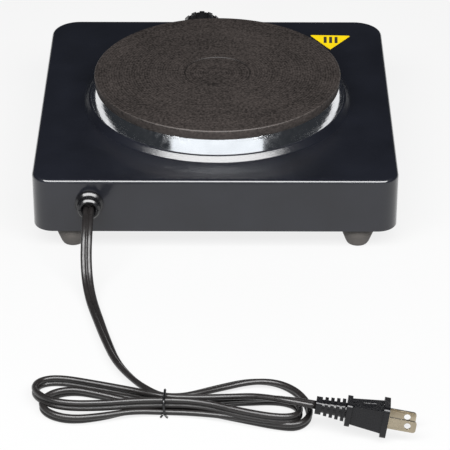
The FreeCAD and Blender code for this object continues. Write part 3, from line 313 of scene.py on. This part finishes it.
# ---------------------------------------------------------------- mains cord
# Control points of the cord's line, mm: x, y, z, and how far its flat side leans, in degrees.
CORD_ROUTE = [
    (75.3, 120.6, 33.8, 0), (75.3, 131.2, 33.8, 0), (75.5, 143.0, 28.0, 0), (75.8, 151.5, 17.6, 0),
    (74.7, 161.0, 8.2, 0), (71.8, 175.0, 3.5, 5), (67.0, 194.0, 3.5, 18), (61.3, 216.0, 3.5, 35),
    (54.4, 238.5, 3.5, 48), (43.5, 256.6, 3.6, 52), (34.0, 268.6, 5.2, 50), (26.6, 275.0, 6.4, 45),
    # first turn, plug side
    (15.0, 272.8, 5.4, 35), (-4.0, 261.4, 3.0, 26), (-20.0, 255.0, 2.8, 30), (-34.0, 256.4, 3.2, 45),
    (-45.0, 265.0, 3.5, 70), (-51.6, 278.0, 3.5, 90), (-52.4, 290.0, 3.5, 100), (-45.8, 298.4, 3.5, 110),
    (-34.0, 297.2, 3.5, 115), (-14.0, 290.6, 3.3, 125), (8.0, 283.5, 2.3, 160), (26.6, 281.1, 1.9, 180),
    # second turn, far side
    (44.0, 282.8, 2.7, 150), (61.0, 289.6, 3.3, 125), (77.0, 292.5, 3.5, 115), (89.0, 287.7, 3.5, 105),
    (94.6, 278.3, 3.5, 92), (88.6, 268.6, 3.5, 78), (76.5, 264.8, 3.4, 66), (61.0, 269.4, 3.2, 60),
    (45.0, 274.0, 2.75, 35), (26.6, 274.9, 1.9, 0),
    # third turn, plug side
    (6.0, 276.4, 2.85, 35), (-14.0, 275.4, 3.4, 62), (-34.0, 273.4, 3.5, 75), (-44.6, 277.4, 3.8, 88),
    (-47.4, 288.0, 5.8, 92), (-44.2, 296.6, 7.8, 95), (-34.0, 299.0, 9.0, 97), (-16.0, 294.0, 9.0, 95),
    (6.0, 282.5, 7.2, 92), (26.6, 280.3, 6.5, 90),
    # fourth turn, far side
    (44.0, 282.4, 7.4, 90), (62.0, 287.3, 9.2, 90), (80.0, 287.6, 9.4, 90), (92.2, 281.2, 8.5, 90),
    (99.0, 268.0, 5.4, 90), (96.0, 257.4, 3.5, 90), (85.5, 254.9, 3.5, 90), (66.0, 260.2, 3.5, 90),
    (44.0, 267.4, 3.9, 85), (26.6, 276.8, 6.6, 75),
    # lead to the plug
    (8.0, 278.6, 7.4, 70), (-10.0, 279.8, 9.2, 60), (-22.0, 283.0, 12.2, 50), (-31.9, 288.0, 14.9, 38),
    (-43.1, 293.7, 17.3, 22), (-54.9, 295.0, 15.6, 14),
]
LOBE_RADIUS = 1.72
LOBE_OFFSET = 1.63
GROOVE = (0.16, 0.62)


def curve_samples(name, points):
    """Points along the NURBS line that has these control points."""
    data = bpy.data.curves.new(name, "CURVE")
    data.dimensions = "3D"
    data.resolution_u = 8
    spline = data.splines.new("NURBS")
    spline.points.add(len(points) - 1)
    for point, place in zip(spline.points, points):
        point.co = (*place, 1.0)
    spline.use_endpoint_u = True
    spline.order_u = 3
    curve = bpy.data.objects.new(name, data)
    bpy.context.scene.collection.objects.link(curve)
    bpy.context.view_layer.update()
    mesh = bpy.data.meshes.new_from_object(curve)
    samples = [v.co.copy() for v in mesh.vertices]
    bpy.data.objects.remove(curve)
    bpy.data.meshes.remove(mesh)
    return samples


def twin_section():
    """Outline of a flat twin cord: two round lobes with a groove between them on each side."""
    side = []
    for step in range(11):
        angle = math.radians(-125 + 25 * step)
        side.append((LOBE_OFFSET + LOBE_RADIUS * math.cos(angle), LOBE_RADIUS * math.sin(angle)))
    u, v = GROOVE
    top = [(u, v), (-u, v)]
    bottom = [(-u, -v), (u, -v)]
    return side + top + [(-across, -over) for across, over in side] + bottom


def swept(name, line, leans, section):
    """Mesh tube: the section carried along the line, turned about it by each point's lean."""
    verts = []
    faces = []
    count = len(section)
    for n, at in enumerate(line):
        ahead = (line[min(n + 1, len(line) - 1)] - line[max(n - 1, 0)]).normalized()
        side = ahead.cross(Vector((0, 0, 1))).normalized()
        up = side.cross(ahead)
        flat = side * math.cos(leans[n]) + up * math.sin(leans[n])
        thin = up * math.cos(leans[n]) - side * math.sin(leans[n])
        verts += [at + flat * (u * MM) + thin * (v * MM) for u, v in section]
    for n in range(len(line) - 1):
        for k in range(count):
            a, b = n * count + k, n * count + (k + 1) % count
            faces.append((a, b, b + count, a + count))
    faces.append(tuple(reversed(range(count))))
    faces.append(tuple(range((len(line) - 1) * count, len(line) * count)))
    mesh = bpy.data.meshes.new(name)
    mesh.from_pydata(verts, [], faces)
    mesh.shade_smooth()
    mesh.validate()
    piece = bpy.data.objects.new(name, mesh)
    bpy.context.scene.collection.objects.link(piece)
    return piece


cord_line = curve_samples("cord_route", [(x * MM, y * MM, z * MM) for x, y, z, _ in CORD_ROUTE])
cord_leans = [p.x for p in curve_samples("cord_lean", [(math.radians(a), 0, 0) for *_, a in CORD_ROUTE])]
cord = swept("mains_cord", cord_line, cord_leans, twin_section())
cord.data.materials.append(MATERIALS["cord_vinyl"])
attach(cord, "appliance")
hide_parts("cord_lead", "cord_hank", "cord_tail")

# ---------------------------------------------------------------- wire tie round the hank
TIE_X = 26.6
TIE_RADIUS = 0.7
TIE_END_RADIUS = 0.55
TIE_LOOP = [  # y, z of the loop's control points, mm
    (278.0, 0.75), (272.2, 0.75), (270.9, 2.6), (271.4, 6.4), (272.4, 9.6), (274.8, 10.5), (278.5, 10.3),
    (282.0, 10.5), (284.6, 9.2), (285.2, 5.4), (285.2, 2.4), (283.6, 0.75),
]
TIE_ENDS = [  # the two twisted ends, mm
    [(26.6, 284.2, 1.6), (26.2, 285.6, 1.9), (25.4, 286.4, 1.2), (24.6, 286.6, 0.8)],
    [(26.6, 284.2, 2.6), (27.1, 285.7, 2.6), (27.9, 286.3, 1.7), (28.6, 286.5, 0.9)],
]


def wire(name, points, radius, closed):
    """A bent wire: a NURBS line through its bends, with a round section."""
    data = bpy.data.curves.new(name, "CURVE")
    data.dimensions = "3D"
    data.resolution_u = 6
    data.bevel_depth = radius * MM
    data.bevel_resolution = 3
    data.use_fill_caps = True
    spline = data.splines.new("NURBS")
    spline.points.add(len(points) - 1)
    for point, (x, y, z) in zip(spline.points, points):
        point.co = (x * MM, y * MM, z * MM, 1.0)
    spline.use_cyclic_u = closed
    spline.use_endpoint_u = not closed
    spline.order_u = 3
    piece = bpy.data.objects.new(name, data)
    bpy.context.scene.collection.objects.link(piece)
    data.materials.append(MATERIALS["bushing_plastic"])
    return piece


tie = wire("hank_tie", [(TIE_X + 0.3 * math.sin(n), y, z) for n, (y, z) in enumerate(TIE_LOOP)],
           TIE_RADIUS, True)
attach(tie, "appliance")
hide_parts("cord_tie")
for n, route in enumerate(TIE_ENDS):
    end = wire(f"hank_tie_end_{n + 1}", route, TIE_END_RADIUS, False)
    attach(end, "appliance")


# ---------------------------------------------------------------- floor, lights, camera
def floor():
    """Pale floor that glows like a light table, so that the ground stays white."""
    g = Graph("pale_floor")
    share = g.span(g.noise(3.0, 2.0), 0.0, 1.0)
    g.set(Base_Color=g.mix(share, (0.050, 0.050, 0.050, 1), (0.056, 0.056, 0.056, 1)),
          Emission_Color=(1.0, 1.0, 1.0, 1), Emission_Strength=0.82, Specular_IOR_Level=0.0,
          Roughness=0.8, Normal=g.bump(g.noise(300.0, 2.0), 0.00001))
    mesh = bpy.data.meshes.new("floor")
    mesh.from_pydata([(-6, -6, 0), (6, -6, 0), (6, 6, 0), (-6, 6, 0)], [], [(0, 1, 2, 3)])
    piece = bpy.data.objects.new("floor", mesh)
    mesh.materials.append(g.material)
    bpy.context.scene.collection.objects.link(piece)


def area_light(name, place, aim, size, power, colour=(1, 1, 1)):
    data = bpy.data.lights.new(name, "AREA")
    data.shape = "RECTANGLE"
    data.size, data.size_y = size
    data.energy = power
    data.color = colour
    lamp = bpy.data.objects.new(name, data)
    lamp.location = place
    direction = Vector(aim) - Vector(place)
    lamp.rotation_euler = direction.to_track_quat("-Z", "Y").to_euler()
    lamp.visible_camera = False
    bpy.context.scene.collection.objects.link(lamp)


def studio():
    world = bpy.data.worlds.new("studio")
    world.use_nodes = True
    sky = world.node_tree.nodes["Background"]
    sky.inputs["Color"].default_value = (0.80, 0.88, 1.0, 1)
    sky.inputs["Strength"].default_value = 0.035
    bpy.context.scene.world = world
    area_light("overhead", (0.0, 0.78, 0.98), (0.0, 0.10, 0.04), (2.0, 0.62), 66.0)
    area_light("front_panel", (0.0, 1.75, 0.66), (0.0, 0.10, 0.05), (2.9, 0.75), 7.0, (0.93, 0.97, 1.0))
    bpy.context.scene.view_settings.view_transform = "Standard"


def camera():
    data = bpy.data.cameras.new("camera")
    data.sensor_width = 36.0
    data.lens = 184.7
    data.clip_start = 0.05
    data.clip_end = 30.0
    eye = bpy.data.objects.new("camera", data)
    tilt, turn, roll = 0.544, 0.002, 0.001
    ahead = Vector((math.sin(turn) * math.cos(tilt), -math.cos(turn) * math.cos(tilt), -math.sin(tilt)))
    level = ahead.to_track_quat("-Z", "Y").to_matrix()
    eye.matrix_world = (Matrix.Translation((-0.00826, 1.30224, 0.73722))
                        @ (level @ Matrix.Rotation(roll, 3, "Z")).to_4x4())
    bpy.context.scene.collection.objects.link(eye)
    bpy.context.scene.camera = eye


floor()
studio()
camera()
